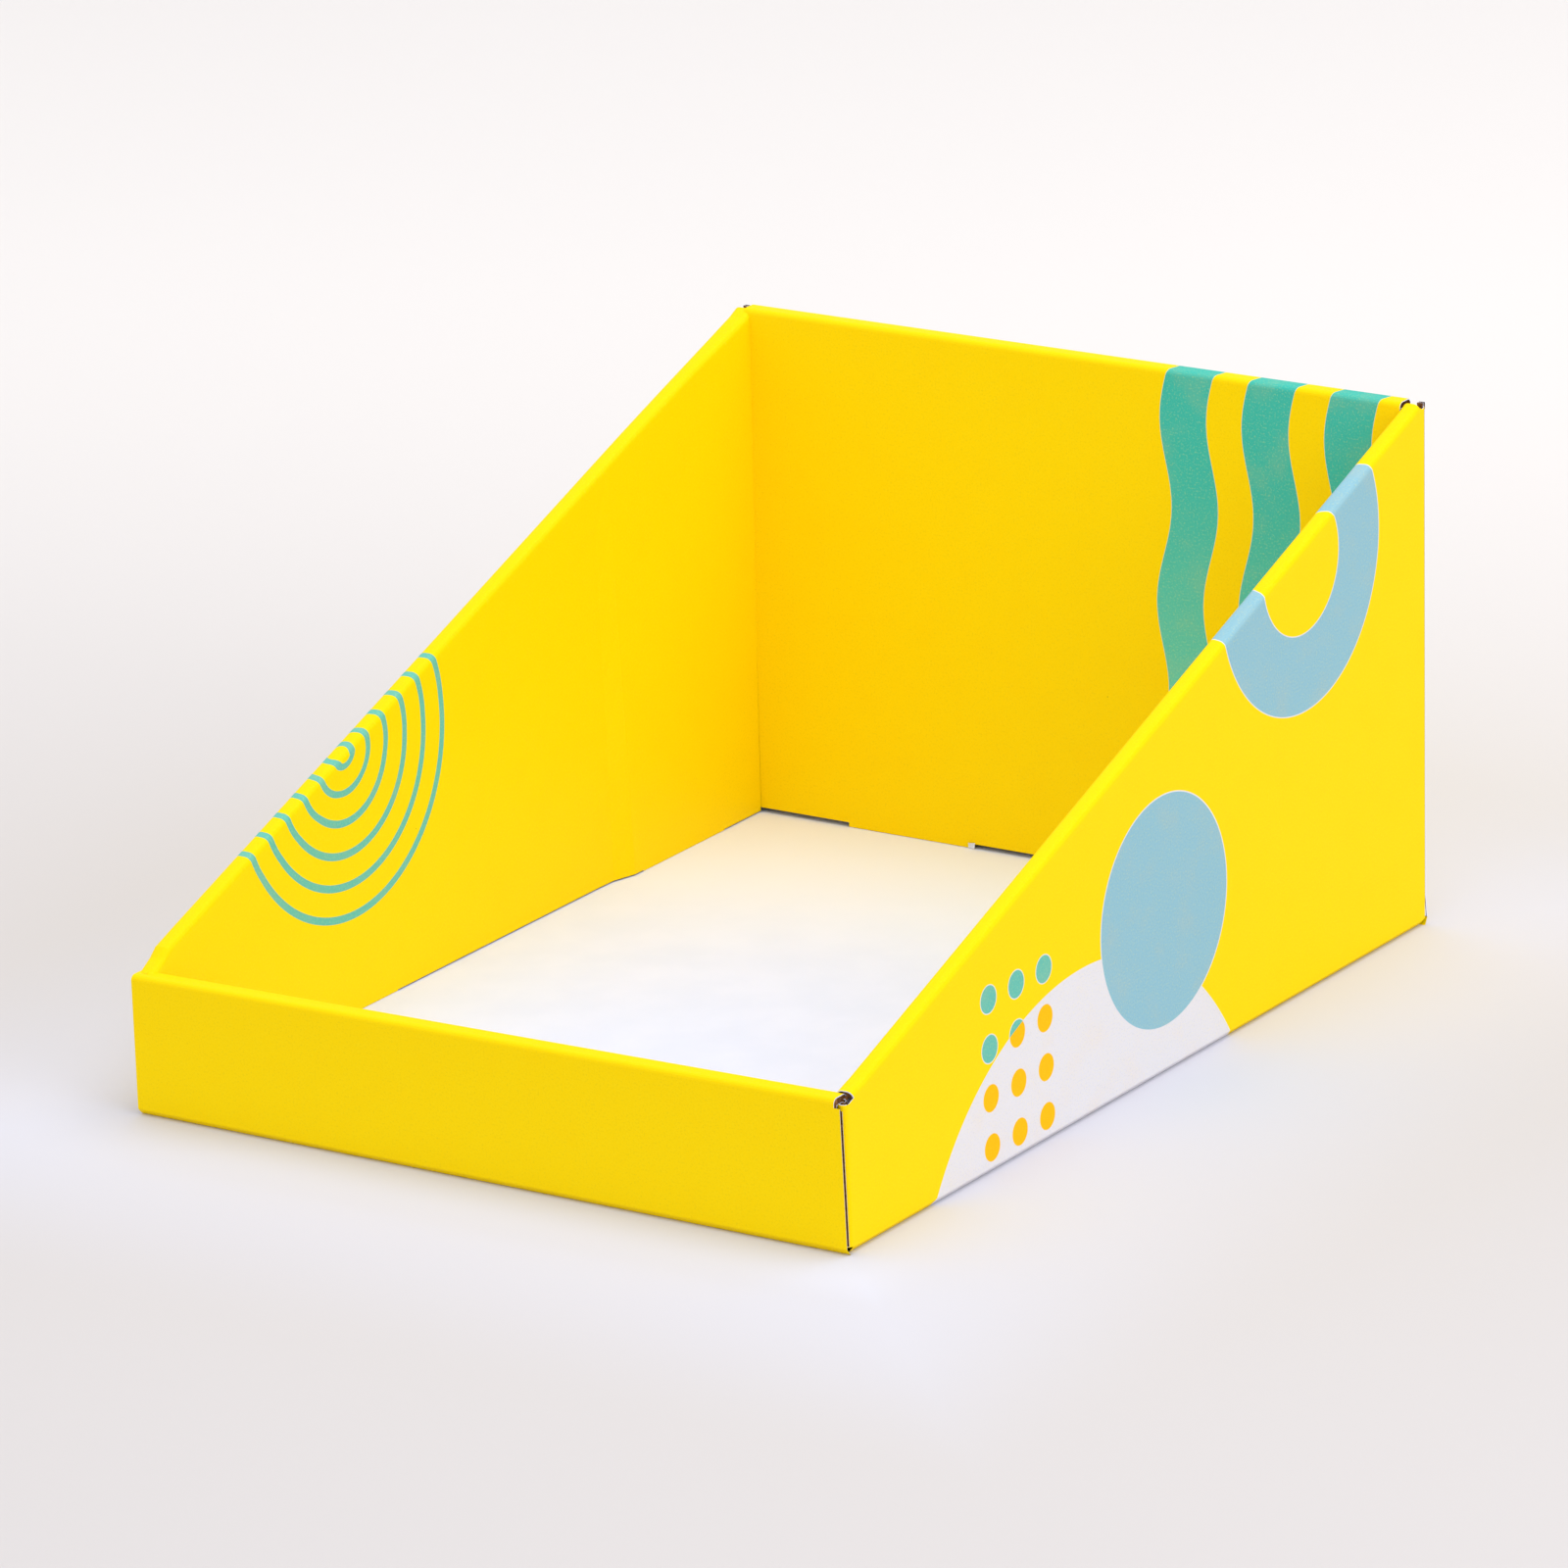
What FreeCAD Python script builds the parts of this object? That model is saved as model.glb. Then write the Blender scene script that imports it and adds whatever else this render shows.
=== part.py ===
import FreeCAD, Part
import Sketcher
import math
import os
import re

# Roll-over cardboard display tray, folded from one sheet of corrugated board.
# Frame: X to the right along the front, Y towards the tall rear, Z up, and the origin
# at the middle of the underside. All lengths are in millimetres.

doc = FreeCAD.newDocument("display_tray")

# Driving sizes.
SIZES = [
    ("board", "3.0", "thickness of the corrugated board"),
    ("width", "300.0", "outside width"),
    ("depth", "400.0", "outside depth, front to rear"),
    ("rear_height", "200.0", "height of the rear wall"),
    ("front_height", "56.0", "height of the front lip"),
    ("end_gap", "0.6", "air between two layers of the front and rear walls"),
    ("side_gap", "0.4", "air between the two layers of a side wall"),
    ("raw_drop", "2.5", "how far a raw edge stops below the roll beside it"),
    ("fold_radius", "2.0", "outside radius of a folded edge"),
    ("flap_length", "60.0", "length of a corner flap inside the front or rear wall"),
    ("flap_lift", "1.0", "air under a corner flap"),
    ("end_lift", "2.5", "air under the front and rear inner walls"),
    ("side_lift", "1.0", "air under the side inner walls"),
    ("end_tab_width", "54.0", "width of a lock tab of the front and rear inner walls"),
    ("end_tab_middle", "74.0", "middle of such a tab, from the middle of the tray"),
    ("side_tab_width", "58.0", "width of a lock tab of a side inner wall"),
    ("rear_tab_middle", "131.0", "middle of its rear tab, behind the middle of the tray"),
    ("front_tab_middle", "83.0", "middle of its front tab, ahead of the middle of the tray"),
    ("slot_play", "0.4", "clearance round a lock tab in its slot"),
    ("tab_recess", "0.4", "how far a lock tab stops above the underside"),
]

sheet = doc.addObject("Spreadsheet::Sheet", "sizes")
for row, (alias, number, note) in enumerate(SIZES, start=1):
    sheet.set("A%d" % row, number)
    sheet.setAlias("A%d" % row, alias)
    sheet.set("B%d" % row, note)

# Positions that follow from the sizes: each is a formula in the same sheet. They are
# measured from the middle of the tray. An end wall is the front lip or the rear wall.
DERIVED = [
    ("half_width", "width / 2"),
    ("half_depth", "depth / 2"),
    ("end_out_back", "half_depth - board"),
    ("flap_face", "end_out_back - end_gap"),
    ("flap_back", "flap_face - board"),
    ("end_in_back", "flap_back - end_gap"),
    ("end_face", "end_in_back - board"),
    ("side_out_back", "half_width - board"),
    ("side_in_back", "side_out_back - side_gap"),
    ("side_face", "side_in_back - board"),
    ("return_end", "end_face - side_gap"),
    ("incline", "(rear_height - front_height) / (2 * flap_face)"),
    ("middle_height", "(rear_height + front_height) / 2"),
    ("front_step", "middle_height - incline * return_end"),
    ("rear_step", "middle_height + incline * return_end"),
    ("roll_depth", "board * sqrt(1 + incline * incline)"),
]
for row, (alias, rule) in enumerate(DERIVED, start=len(SIZES) + 1):
    sheet.set("A%d" % row, "=" + rule)
    sheet.setAlias("A%d" % row, alias)
doc.recompute()

NAMES = sorted([alias for alias, *_ in SIZES + DERIVED], key=len, reverse=True)
WORD = re.compile(r"\b(" + "|".join(NAMES) + r")\b")


def formula(text):
    """The text with each size name written as a reference to the sheet."""
    return WORD.sub(r"sizes.\1", text)


body = doc.addObject("PartDesign::Body", "display_tray")
body.Label = "display tray"
planes = {plane.Role: plane for plane in body.Origin.OriginFeatures}


def sketch_on(plane, name, offset="0"):
    """An empty sketch on one of the body's own origin planes, moved along its normal."""
    sketch = body.newObject("Sketcher::SketchObject", name)
    sketch.AttachmentSupport = [(planes[plane], "")]
    sketch.MapMode = "FlatFace"
    sketch.setExpression("AttachmentOffset.Base.z", formula(offset))
    return sketch


def outline(sketch, corners, tag="p"):
    """A closed outline; each corner is dimensioned from the origin by two formulas."""
    first = sketch.GeometryCount
    count = len(corners)
    turn = 2 * math.pi / count
    start = [FreeCAD.Vector(50 * math.cos(i * turn), 50 * math.sin(i * turn), 0)
             for i in range(count)]
    for i in range(count):
        sketch.addGeometry(Part.LineSegment(start[i], start[(i + 1) % count]), False)
    for i in range(count):
        here, after = first + i, first + (i + 1) % count
        sketch.addConstraint(Sketcher.Constraint("Coincident", here, 2, after, 1))
    for i, (across, up) in enumerate(corners):
        for kind, text, mark in (("DistanceX", across, "x"), ("DistanceY", up, "y")):
            value = start[i].x if mark == "x" else start[i].y
            number = sketch.addConstraint(
                Sketcher.Constraint(kind, -1, 1, first + i, 1, value))
            name = "%s%d%s" % (tag, i, mark)
            sketch.renameConstraint(number, name)
            sketch.setExpression("Constraints." + name, formula(text))


def box_outline(sketch, low_x, low_y, high_x, high_y, tag="p"):
    """A rectangle from its two opposite corners."""
    outline(sketch, [(low_x, low_y), (high_x, low_y), (high_x, high_y), (low_x, high_y)], tag)


def pad(sketch, name, length):
    """A pad of the sketch along its normal."""
    doc.recompute()
    feature = body.newObject("PartDesign::Pad", name)
    feature.Profile = sketch
    feature.Type = "Length"
    feature.setExpression("Length", formula(length))
    sketch.Visibility = False
    doc.recompute()
    return feature


def cut_through(sketch, name, high):
    """A pocket of the sketch from the underside up to the given height."""
    doc.recompute()
    before = body.Shape.Volume
    feature = body.newObject("PartDesign::Pocket", name)
    feature.Profile = sketch
    feature.Type = "Length"
    feature.setExpression("Length", formula(high))
    feature.Reversed = True
    sketch.Visibility = False
    doc.recompute()
    if not body.Shape.Volume < before - 1:
        raise RuntimeError(name + " removes nothing")
    return feature


# Base panel.
base = sketch_on("XY_Plane", "base_outline")
box_outline(base, "-half_width", "-half_depth", "half_width", "half_depth")
pad(base, "base_panel", "board")

# Slots for the lock tabs, and the slit that frees the end panels at each corner.
slots = sketch_on("XY_Plane", "slot_outlines")
tab_half = "(end_tab_width / 2 + slot_play)"
side_tab_half = "(side_tab_width / 2 + slot_play)"
spot = 0
for side_x in ("-", ""):
    for side_y in ("-", ""):
        middle = side_x + "end_tab_middle"
        near = side_y + "(end_face - slot_play)"
        far = side_y + "(end_in_back + slot_play)"
        box_outline(slots, middle + " - " + tab_half, near, middle + " + " + tab_half, far,
                    "end%d_" % spot)
        middle = "rear_tab_middle" if side_y == "" else "-front_tab_middle"
        near = side_x + "(side_face - slot_play)"
        far = side_x + "side_out_back"
        box_outline(slots, near, middle + " - " + side_tab_half, far,
                    middle + " + " + side_tab_half, "side%d_" % spot)
        spot += 1
cut_through(slots, "tab_slots", "board")


# Front lip and rear wall: outer panel, roll-over and inner panel.
def end_wall(name, height, toward_rear):
    """One end wall; the XZ plane looks along -Y, so its offsets have the sign changed."""
    sign = "-" if toward_rear else ""
    outer = sketch_on("XZ_Plane", name + "_outline",
                      "-half_depth" if toward_rear else "end_out_back")
    raw = height + " - raw_drop"
    outline(outer, [
        ("-half_width", "0"), ("half_width", "0"), ("half_width", raw),
        ("side_in_back", raw), ("side_in_back", height), ("-side_in_back", height),
        ("-side_in_back", raw), ("-half_width", raw)])
    pad(outer, name + "_outer_panel", "board")

    roll = sketch_on("XZ_Plane", name + "_roll_outline",
                     sign + ("half_depth" if toward_rear else "end_face"))
    box_outline(roll, "-side_in_back", height + " - board", "side_in_back", height)
    pad(roll, name + "_roll", "half_depth - end_face")

    inner = sketch_on("XZ_Plane", name + "_inner_outline",
                      sign + ("end_in_back" if toward_rear else "end_face"))
    low = "board + end_lift"
    half_tab = "end_tab_width / 2"
    outline(inner, [
        ("-side_in_back", low),
        ("-end_tab_middle - " + half_tab, low), ("-end_tab_middle - " + half_tab, "tab_recess"),
        ("-end_tab_middle + " + half_tab, "tab_recess"), ("-end_tab_middle + " + half_tab, low),
        ("end_tab_middle - " + half_tab, low), ("end_tab_middle - " + half_tab, "tab_recess"),
        ("end_tab_middle + " + half_tab, "tab_recess"), ("end_tab_middle + " + half_tab, low),
        ("side_in_back", low), ("side_in_back", height), ("-side_in_back", height)])
    pad(inner, name + "_inner_panel", "board")


end_wall("front", "front_height", False)
end_wall("rear", "rear_height", True)

# Right side wall: outer panel, slanting roll-over and inner panel with its tabs.
outer = sketch_on("YZ_Plane", "side_outline", "side_out_back")
outline(outer, [
    ("-flap_face", "0"), ("flap_face", "0"), ("flap_face", "rear_height - raw_drop"),
    ("return_end", "rear_step - raw_drop"), ("return_end", "rear_step"),
    ("-return_end", "front_step"), ("-return_end", "front_step - raw_drop"),
    ("-flap_face", "front_height - raw_drop")])
side_outer = pad(outer, "side_outer_panel", "board")

roll = sketch_on("YZ_Plane", "side_roll_outline", "side_face")
outline(roll, [
    ("-return_end", "front_step - roll_depth"), ("return_end", "rear_step - roll_depth"),
    ("return_end", "rear_step"), ("-return_end", "front_step")])
side_roll = pad(roll, "side_roll", "half_width - side_face")

inner = sketch_on("YZ_Plane", "side_inner_outline", "side_face")
low = "board + side_lift"
half_tab = "side_tab_width / 2"
outline(inner, [
    ("-return_end", low),
    ("-front_tab_middle - " + half_tab, low), ("-front_tab_middle - " + half_tab, "tab_recess"),
    ("-front_tab_middle + " + half_tab, "tab_recess"), ("-front_tab_middle + " + half_tab, low),
    ("rear_tab_middle - " + half_tab, low), ("rear_tab_middle - " + half_tab, "tab_recess"),
    ("rear_tab_middle + " + half_tab, "tab_recess"), ("rear_tab_middle + " + half_tab, low),
    ("return_end", low), ("return_end", "rear_step"), ("-return_end", "front_step")])
side_inner = pad(inner, "side_inner_panel", "board")

# Corner flaps of the right side wall, tucked into the front lip and the rear wall.
flap = sketch_on("XZ_Plane", "front_flap_outline", "flap_back")
box_outline(flap, "half_width - flap_length", "board + flap_lift",
            "half_width", "front_height - board - end_gap")
front_flap = pad(flap, "front_corner_flap", "board")
flap = sketch_on("XZ_Plane", "rear_flap_outline", "-flap_face")
box_outline(flap, "half_width - flap_length", "board + flap_lift",
            "half_width", "rear_height - board - end_gap")
rear_flap = pad(flap, "rear_corner_flap", "board")

# The left side wall mirrors the right one.
mirror = body.newObject("PartDesign::Mirrored", "left_side")
mirror.Originals = [side_outer, side_roll, side_inner, front_flap, rear_flap]
mirror.MirrorPlane = (planes["YZ_Plane"], [""])
body.Tip = mirror
doc.recompute()

# Slit through the base between each end panel and the side wall beside it.
slit = sketch_on("XY_Plane", "corner_slit_outlines")
spot = 0
for side_x in ("-", ""):
    for side_y in ("-", ""):
        box_outline(slit, side_x + "side_out_back", side_y + "flap_face",
                    side_x + "half_width", side_y + "end_out_back", "slit%d_" % spot)
        spot += 1
cut_through(slit, "corner_slits", "board")


# Rounded outside of every fold. The edges are found from the sizes, on the shape
# as it is when the rounding is added.
SHORTEST = 20.0
NEAR = 0.01


def fold_lines(point):
    """The folds that a point lies on."""
    across, along, high = abs(point.x), abs(point.y), point.z
    end_top = sheet.rear_height if point.y > 0 else sheet.front_height
    side_top = sheet.middle_height + sheet.incline * point.y
    on_side = abs(across - sheet.half_width) < NEAR
    on_end = abs(along - sheet.half_depth) < NEAR
    inside_side = abs(across - sheet.side_face) < NEAR
    inside_end = abs(along - sheet.end_face) < NEAR
    left, front = point.x < 0, point.y < 0
    lines = set()
    if on_side and abs(along - sheet.flap_face) < NEAR:
        lines.add(("corner", left, front))
    if on_side and abs(high) < NEAR:
        lines.add(("foot of a side", left))
    if on_end and abs(high) < NEAR:
        lines.add(("foot of an end", front))
    if (on_end or inside_end) and abs(high - end_top) < NEAR:
        lines.add(("roll of an end", front, on_end))
    if (on_side or inside_side) and abs(high - side_top) < NEAR:
        lines.add(("roll of a side", left, on_side))
    return lines


def fold_edges(shape, corners):
    """Names of the long edges on the corner folds, or on all the other folds."""
    found = []
    for number, edge in enumerate(shape.Edges, start=1):
        if edge.Length < SHORTEST or len(edge.Vertexes) != 2:
            continue
        shared = set.intersection(*[fold_lines(vertex.Point) for vertex in edge.Vertexes])
        if any((line[0] == "corner") == corners for line in shared):
            found.append("Edge%d" % number)
    return found


def round_folds(name, corners):
    """A fillet of the fold radius over one group of folds."""
    edges = fold_edges(body.Shape, corners)
    before = body.Shape.Volume
    rounded = body.Tip
    feature = body.newObject("PartDesign::Fillet", name)
    feature.Base = (rounded, edges)
    feature.setExpression("Radius", formula("fold_radius"))
    doc.recompute()
    print(name, len(edges), "edges, mm3 removed: %.0f" % (before - body.Shape.Volume))


round_folds("corner_fold_rounding", True)
round_folds("other_fold_rounding", False)

# Checks, then the exchange file.
for thing in doc.Objects:
    if "Invalid" in thing.State or "Error" in thing.State:
        raise RuntimeError("%s: %s" % (thing.Name, thing.State))
shape = body.Shape
if shape.isNull() or not shape.isValid() or len(shape.Solids) != 1:
    raise RuntimeError("the tray is not one valid solid")
os.makedirs("parts", exist_ok=True)
shape.exportStep("parts/display_tray.step")
box = shape.BoundBox
print("volume mm3: %.0f" % shape.Volume)
print("box: %.2f %.2f %.2f to %.2f %.2f %.2f"
      % (box.XMin, box.YMin, box.ZMin, box.XMax, box.YMax, box.ZMax))
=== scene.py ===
# %% [markdown]
# # A folded display tray in printed corrugated board
# The tray is one die-cut sheet. Its front lip, rear wall and side walls are folded up,
# rolled over at the top and tucked back down inside, so each wall is two layers thick.
# The CAD frame gives its size. This lesson rebuilds the sheet with what a plain solid
# leaves out: thin liners, fluting at the cut edges, soft folds and the print.

# %% Load the frame
import math

import bpy
import numpy as np
from mathutils import Matrix, Vector


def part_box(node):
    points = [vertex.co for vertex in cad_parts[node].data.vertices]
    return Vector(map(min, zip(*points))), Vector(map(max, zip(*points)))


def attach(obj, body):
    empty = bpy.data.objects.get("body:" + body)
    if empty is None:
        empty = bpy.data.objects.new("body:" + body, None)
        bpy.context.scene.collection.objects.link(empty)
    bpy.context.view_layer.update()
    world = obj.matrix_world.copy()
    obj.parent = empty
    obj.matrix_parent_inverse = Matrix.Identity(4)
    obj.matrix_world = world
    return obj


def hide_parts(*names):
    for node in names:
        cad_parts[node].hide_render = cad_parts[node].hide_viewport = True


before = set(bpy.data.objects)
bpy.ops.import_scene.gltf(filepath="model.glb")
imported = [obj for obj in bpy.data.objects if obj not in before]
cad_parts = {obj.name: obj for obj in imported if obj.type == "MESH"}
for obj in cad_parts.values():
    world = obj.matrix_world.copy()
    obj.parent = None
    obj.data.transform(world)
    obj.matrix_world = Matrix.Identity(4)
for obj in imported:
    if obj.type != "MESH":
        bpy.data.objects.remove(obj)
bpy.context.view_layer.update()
low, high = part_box("display_tray")
print("CAD box, mm:", [round(1000 * c, 1) for c in (*low, *high)])

# %% [markdown]
# ## The sizes of the board and the walls
# A maker starts from the board. B-flute is 3 mm thick, with a wave every 6 mm or so
# between two paper liners. The walls follow from it: a side wall is two boards, and the
# lip and the rear wall also hold a corner flap between their two layers. Width, depth and
# height come from the frame, so that the two models can't drift apart.

# %% Board and walls, in millimetres
MM = 0.001
BOARD, LINER, PITCH = 3.0, 0.36, 6.2
HALF_W, HALF_D = 1000 * high.x, 1000 * high.y
REAR, LIP = 1000 * high.z, 56.0
END_GAP, SIDE_GAP = 0.6, 0.4
END_WALL = 3 * BOARD + 2 * END_GAP
SIDE_WALL = 2 * BOARD + SIDE_GAP
END_ROLL, SIDE_ROLL = 8.2, 6.9
FLANK = HALF_D - BOARD - END_GAP
REAR_FOOT = 12.6
INCLINE = (REAR - LIP) / (2 * FLANK)
SLOPE = math.atan(INCLINE)
print("walls, mm: end %.1f, side %.1f, slope %.1f degrees"
      % (END_WALL, SIDE_WALL, math.degrees(SLOPE)))

# %% [markdown]
# ## The sizes of folds and tabs
# Board doesn't fold on a line: its outer liner bends round a small radius, and its inner
# one is crushed to a tighter one. The fold at the base is creased hardest, so it has a
# section of its own that is upright again at the height BEND. The upright folds at the
# corners lie a little inside the base's ends, further in at the front. The lock tabs don't
# reach down into their slots: they stand on the base beside them.

# %% Folds and tabs, in millimetres
FOLD, TIGHT = 2.0, 0.4
CREASE = [(2.6, 0.0), (2.05, 0.2), (0.35, 2.1), (0.35, 2.35)]
BEND = 2.6
CORNERS = {-1: HALF_D - 1.8, 1: HALF_D - 0.9}
END_LIFT, SIDE_LIFT = 1.9, 0.6
TAB_FOOT = BOARD + 0.2
END_TABS, END_TAB = (-70.0, 70.0), 54.0
SIDE_TABS, SIDE_TAB = (-83.0, 131.0), 58.0
SLOT_PLAY = 0.4
print("%d tabs, down to %.1f mm above the floor" % (2 * len(END_TABS + SIDE_TABS), TAB_FOOT))

# %% [markdown]
# ## Paper is never quite flat
# A folded sheet leans and bows by a few millimetres. One smooth function moves every
# point of the tray, so that neighbours stay together: the lip drops towards its left end,
# the rear wall's foot stands ahead of its top, and the left wall is drawn in a little at
# its upper rear corner. Moving each piece by itself would open gaps.


# %% How the folded sheet gives
LIP_DROP, LIP_TILT = 1.5, 2.0
REAR_LEAN, LEFT_TUCK = 5.0, 1.1


def smooth(x, start, end):
    """0 before start, 1 after end, and a soft step between."""
    x = np.clip((x - start) / (end - start), 0, 1)
    return x * x * (3 - 2 * x)


def settle(points):
    """The small leans and bows of the real sheet, for an array of points in mm."""
    x, y, z = points[..., 0], points[..., 1], points[..., 2]
    lip = 1 - smooth(y, -193.0, -185.0)
    sag = lip * np.clip(z / LIP, 0, 1) * (-LIP_DROP + LIP_TILT * x / HALF_W)
    lean = REAR_LEAN * (1 - z / REAR) * smooth(y, 120.0, 195.0)
    left = smooth(-x, 120.0, 140.0)
    tuck = left * smooth(y, 110.0, 195.0) * smooth(z, 60.0, 190.0) * LEFT_TUCK
    return np.stack([x + tuck, y - lean, z + sag], axis=-1)


print("lip ends move by, mm:",
      settle(np.array([[-HALF_W, -HALF_D, LIP], [HALF_W, -HALF_D, LIP]]))[:, 2].round(2) - LIP)

# %% [markdown]
# ## Three kinds of cut edge
# Wherever the sheet ends, its section shows: two liners with the brown core behind them.
# A raw edge has its core set back a little. A crushed one is nearly closed, and one that
# lies in shadow is an open, deep slit. Each kind is a depth in millimetres and the share
# of the board's thickness that each rim takes. Painting the edge brown would be quicker,
# but the real edges catch light and shadow, so they are built.

# %% Cut edges
RAW = (1.6, LINER / BOARD)
CRUSHED = (0.5, 0.34)
SHADOWED = (6.0, 0.07)
OPEN_RIM, DEEP_CORE = 0.2, 2.0
RIBBON, RIBBON_STEPS = 0.035, 14
PRINT, PLAIN, CORE = 0, 1, 2
print("a raw edge: %.2f mm liners, core %.1f mm back" % (BOARD * RAW[1], RAW[0]))

# %% [markdown]
# ## One builder for every panel
# Each panel is a grid of points on its printed side and the matching grid on its white
# side. Cells can be left out, for tabs and notches, and every cell that ends the board
# gets its cut edge, with a thin wavy ribbon for the fluting. Each point also keeps its
# place on the flat sheet, which the print needs. Solids joined and cut by booleans would
# give the same outline, but no such place and no matching sides.


# %% The sheet builder
class Sheet:
    """Collects the faces of one piece, with their finish and their place on the flat sheet."""

    def __init__(self):
        self.points, self.faces, self.finish, self.flat = [], [], [], []
        self.count = 0

    def patch(self, grid, flat, finish, cells=None, turn=False):
        """A grid of points with the cells that are wanted."""
        rows, columns = grid.shape[:2]
        start = self.count
        self.points.append(settle(grid.reshape(-1, 3)))
        self.flat.append(flat.reshape(-1, 2))
        self.count += rows * columns
        for i in range(rows - 1):
            for j in range(columns - 1):
                if cells is not None and not cells[i, j]:
                    continue
                a = start + i * columns + j
                face = (a, a + columns, a + columns + 1, a + 1)
                self.faces.append(face[::-1] if turn else face)
                self.finish.append(finish)

    def board(self, front, back, flat, cells=None, wave=0, turn=False, joined=None,
              pressed=None, behind=PLAIN):
        """A piece of board: printed grid, white grid, and the cut edges of its cells.

        wave is the flat axis that crosses the flutes. joined tells where an edge runs on
        into another fold, and pressed gives an edge's kind where it isn't raw.
        """
        rows, columns = front.shape[:2]
        if cells is None:
            cells = np.ones((rows - 1, columns - 1), bool)
        self.patch(front, flat, PRINT, cells, turn)
        self.patch(back, flat, behind, cells, not turn)
        padded = np.pad(cells, 1)
        edges = [((i, j), (i, j + 1), padded[i, j + 1], padded[i + 1, j + 1], (1, 0))
                 for i in range(rows) for j in range(columns - 1)]
        edges += [((i, j), (i + 1, j), padded[i + 1, j], padded[i + 1, j + 1], (0, 1))
                  for j in range(columns) for i in range(rows - 1)]
        for a, b, before, after, (down, right) in edges:
            if before != after:
                step = 1 if after else -1
                a_in, b_in = [(i + step * down, j + step * right) for i, j in (a, b)]
                self.cut_edge(front, back, flat, a, b, a_in, b_in, wave,
                              turn == (step * (down - right) > 0), joined, pressed)

    def cut_edge(self, front, back, flat, a, b, a_in, b_in, wave, turn, joined, pressed):
        """The two liners, the set-back core and the fluting along one cut edge."""
        middle = (front[a] + front[b]) / 2
        if joined is not None and joined(*middle):
            return
        deep, thin = (pressed(*middle) if pressed is not None else None) or RAW

        def through(n, share):
            """A point on the edge, at a share of the board's thickness."""
            return front[n] + (back[n] - front[n]) * share

        def inside(n, n_in, share):
            """The same point set back into the board, within the cell it lies in."""
            step = through(n_in, share) - through(n, share)
            room = max(np.linalg.norm(step), 1e-6)
            set_back = deep if deep > DEEP_CORE else min(deep, 0.8 * room)
            return through(n, share) + step * set_back / room

        section = [("out", 0.0), ("out", thin), ("in", thin), ("in", 1 - thin),
                   ("out", 1 - thin), ("out", 1.0)]
        finishes = [PLAIN, CORE, CORE, CORE, PLAIN]
        grid = np.array([[through(n, s) if place == "out" else inside(n, n_in, s)
                          for place, s in section] for n, n_in in ((a, a_in), (b, b_in))])
        spot = np.array([[flat[n]] * len(section) for n in (a, b)])
        for k, finish in enumerate(finishes):
            self.patch(grid[:, k:k + 2], spot[:, k:k + 2], finish, None, turn)
        span = flat[b][wave] - flat[a][wave]
        length = np.linalg.norm(front[b] - front[a])
        waveless = abs(span) < 0.7 * length or length < 0.2
        if thin > OPEN_RIM or deep > DEEP_CORE or waveless:
            return
        steps = max(2, int(math.ceil(length / PITCH * RIBBON_STEPS)))
        ribbon, ribbon_flat = [], []
        for share in np.linspace(0, 1, steps + 1):
            phase = (flat[a][wave] + share * span) / PITCH * 2 * math.pi
            middle = 0.5 + (0.5 - 1.5 * thin) * math.sin(phase)
            row = []
            for w in (middle - RIBBON, middle + RIBBON):
                out = through(a, w) * (1 - share) + through(b, w) * share
                deeper = inside(a, a_in, w) * (1 - share) + inside(b, b_in, w) * share
                row += [out * 0.93 + deeper * 0.07, deeper]
            ribbon.append([row[1], row[0], row[2], row[3]])
            ribbon_flat.append([flat[a] * (1 - share) + flat[b] * share] * 4)
        self.patch(np.array(ribbon), np.array(ribbon_flat), CORE, None, turn)

    def build(self, name, finishes):
        """The mesh object, riding on the tray's one body in place of its CAD node."""
        faces = np.array(self.faces)
        used, places = np.unique(faces, return_inverse=True)
        points = np.concatenate(self.points)[used] * MM
        mesh = bpy.data.meshes.new(name)
        mesh.from_pydata(points.tolist(), [], places.reshape(faces.shape).tolist())
        for finish in finishes:
            mesh.materials.append(finish)
        mesh.polygons.foreach_set("material_index", self.finish)
        place = mesh.attributes.new("flat", "FLOAT_VECTOR", "POINT")
        flat = np.concatenate(self.flat)[used] * MM
        place.data.foreach_set("vector", np.c_[flat, np.zeros(len(flat))].ravel())
        mesh.update()
        piece = bpy.data.objects.new(name, mesh)
        bpy.context.scene.collection.objects.link(piece)
        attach(piece, "root")
        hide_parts("display_tray")
        print("%s: %d faces" % (name, len(self.faces)))
        return piece


# %% [markdown]
# ## Arcs and grid lines
# Two helpers draw every section. Folds are short arcs. Panels are grids whose lines are
# evenly spaced, but some lines have to be there, where a tab or a notch begins.


# %% Arcs and grid lines
def arc(middle, radius, start, end, steps=5):
    """Points of an arc in a plane, by angles in degrees."""
    turn = np.radians(np.linspace(start, end, steps))
    return np.c_[middle[0] + radius * np.cos(turn), middle[1] + radius * np.sin(turn)]


def lines(low, high, spacing, *extra):
    """Evenly spaced grid lines from low to high, with some that must be there."""
    even = np.linspace(low, high, max(2, int(round((high - low) / spacing)) + 1))
    far = [x for x in even if all(abs(x - e) > 0.25 * spacing for e in extra)
           or x in (even[0], even[-1])]
    return np.array(sorted(set(round(float(x), 4) for x in [*far, *extra])))


print("lines from 0 to 30 with one at 12:", lines(0, 30, 10, 12).tolist())

# %% [markdown]
# ## Shader maths that reads as Python
# The print and the paper finishes are sums of simple masks. A small class wraps one
# socket of a material, so that `1 - mask` adds the Math node for it. Nodes could be wired
# one by one, but nobody can read a circle in twenty lines of links.


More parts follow.
